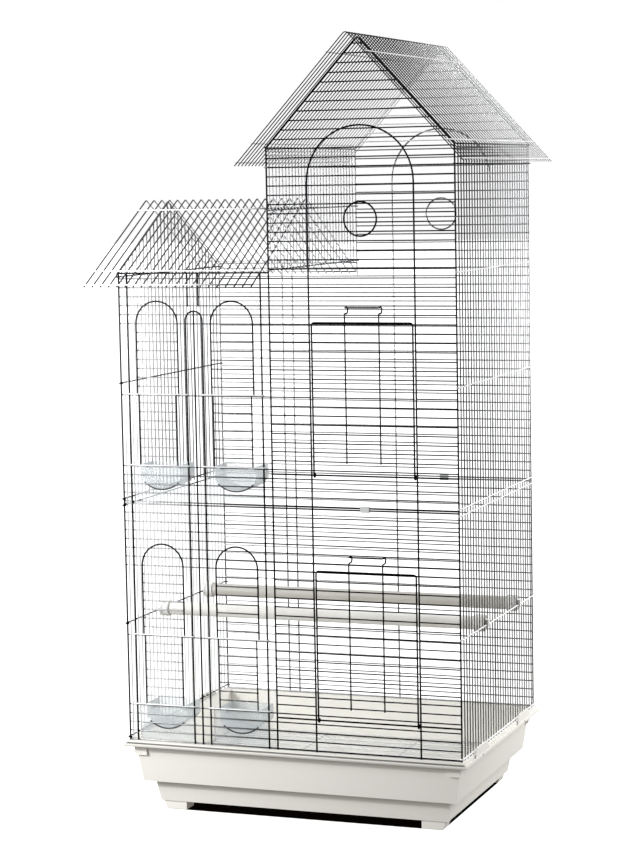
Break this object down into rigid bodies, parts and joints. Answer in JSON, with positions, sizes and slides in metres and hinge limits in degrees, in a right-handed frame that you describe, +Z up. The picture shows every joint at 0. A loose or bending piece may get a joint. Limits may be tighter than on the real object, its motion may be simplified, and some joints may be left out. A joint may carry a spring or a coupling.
{
  "type": "canary breeding cage",
  "caption": "House-shaped canary breeding cage of welded wire with a low wing and a gabled tower on a moulded tray; drop-down doors, sliding feeder doors, cups and perches.",
  "frame": {"origin": "centre of the overall footprint, on the surface that the feet stand on", "axes": "+Z up; the doors and feeders face -Y; the tower is towards +X and the low wing towards -X"},
  "size_m": [0.5672, 0.4524, 1.103],
  "materials": {
    "wire_chrome": "bright zinc or chrome plated wire",
    "tray_plastic": "ivory white, satin to semi-gloss",
    "cup_plastic": "clear bluish plastic",
    "clip_plastic": "grey, matt",
    "perch_ivory": "ivory grey, satin",
    "perch_tan": "pale tan, plain",
    "cap_plastic": "ivory, satin"
  },
  "bodies": {
    "tray": {"tray_base": "tray_plastic"},
    "grate": {"floor_grate": "wire_chrome"},
    "wire_body": {"lower_front_panel": "wire_chrome", "lower_back_panel": "wire_chrome", "lower_left_panel": "wire_chrome", "lower_right_panel": "wire_chrome", "upper_front_panel": "wire_chrome", "upper_back_panel": "wire_chrome", "upper_right_panel": "wire_chrome", "wing_left_panel": "wire_chrome", "tower_left_panel": "wire_chrome", "wing_roof": "wire_chrome", "tower_roof": "wire_chrome", "seam_clips": "clip_plastic", "front_perch": "perch_ivory", "rear_perch": "perch_tan", "front_perch_caps": "cap_plastic", "rear_perch_caps": "cap_plastic"},
    "lower_door": {"lower_door": "wire_chrome"},
    "upper_door": {"upper_door": "wire_chrome"},
    "feeder_door_upper_left": {"feeder_door_upper_left": "wire_chrome"},
    "feeder_door_upper_right": {"feeder_door_upper_right": "wire_chrome"},
    "feeder_door_lower_left": {"feeder_door_lower_left": "wire_chrome"},
    "feeder_door_lower_right": {"feeder_door_lower_right": "wire_chrome"},
    "feeder_cup_upper_left": {"feeder_cup_upper_left": "cup_plastic"},
    "feeder_cup_upper_right": {"feeder_cup_upper_right": "cup_plastic"},
    "feeder_cup_lower_left": {"feeder_cup_lower_left": "cup_plastic"},
    "feeder_cup_lower_right": {"feeder_cup_lower_right": "cup_plastic"}
  },
  "joints": [
    {"name": "cage_lift", "type": "slide", "parent": "tray", "child": "wire_body", "axis": [0, 0, 1], "range_m": [0, 0.25]},
    {"name": "grate_lift", "type": "slide", "parent": "tray", "child": "grate", "axis": [0, 0, -1], "range_m": [-0.07, 0]},
    {"name": "lower_door_hinge", "type": "hinge", "parent": "wire_body", "child": "lower_door", "pos_m": [0.11927, -0.17597, 0.15275], "axis": [1, 0, 0], "range_deg": [0, 125]},
    {"name": "upper_door_hinge", "type": "hinge", "parent": "wire_body", "child": "upper_door", "pos_m": [0.11927, -0.17597, 0.49895], "axis": [1, 0, 0], "range_deg": [0, 125]},
    {"name": "feeder_door_upper_left_slide", "type": "slide", "parent": "wire_body", "child": "feeder_door_upper_left", "axis": [0, 0, 1], "range_m": [0, 0.097]},
    {"name": "feeder_door_upper_right_slide", "type": "slide", "parent": "wire_body", "child": "feeder_door_upper_right", "axis": [0, 0, 1], "range_m": [0, 0.097]},
    {"name": "feeder_door_lower_left_slide", "type": "slide", "parent": "wire_body", "child": "feeder_door_lower_left", "axis": [0, 0, 1], "range_m": [0, 0.097]},
    {"name": "feeder_door_lower_right_slide", "type": "slide", "parent": "wire_body", "child": "feeder_door_lower_right", "axis": [0, 0, 1], "range_m": [0, 0.097]},
    {"name": "feeder_cup_upper_left_lift", "type": "slide", "parent": "wire_body", "child": "feeder_cup_upper_left", "axis": [0, 0, 1], "range_m": [0, 0.008]},
    {"name": "feeder_cup_upper_right_lift", "type": "slide", "parent": "wire_body", "child": "feeder_cup_upper_right", "axis": [0, 0, 1], "range_m": [0, 0.008]},
    {"name": "feeder_cup_lower_left_lift", "type": "slide", "parent": "wire_body", "child": "feeder_cup_lower_left", "axis": [0, 0, 1], "range_m": [0, 0.008]},
    {"name": "feeder_cup_lower_right_lift", "type": "slide", "parent": "wire_body", "child": "feeder_cup_lower_right", "axis": [0, 0, 1], "range_m": [0, 0.008]}
  ]
}
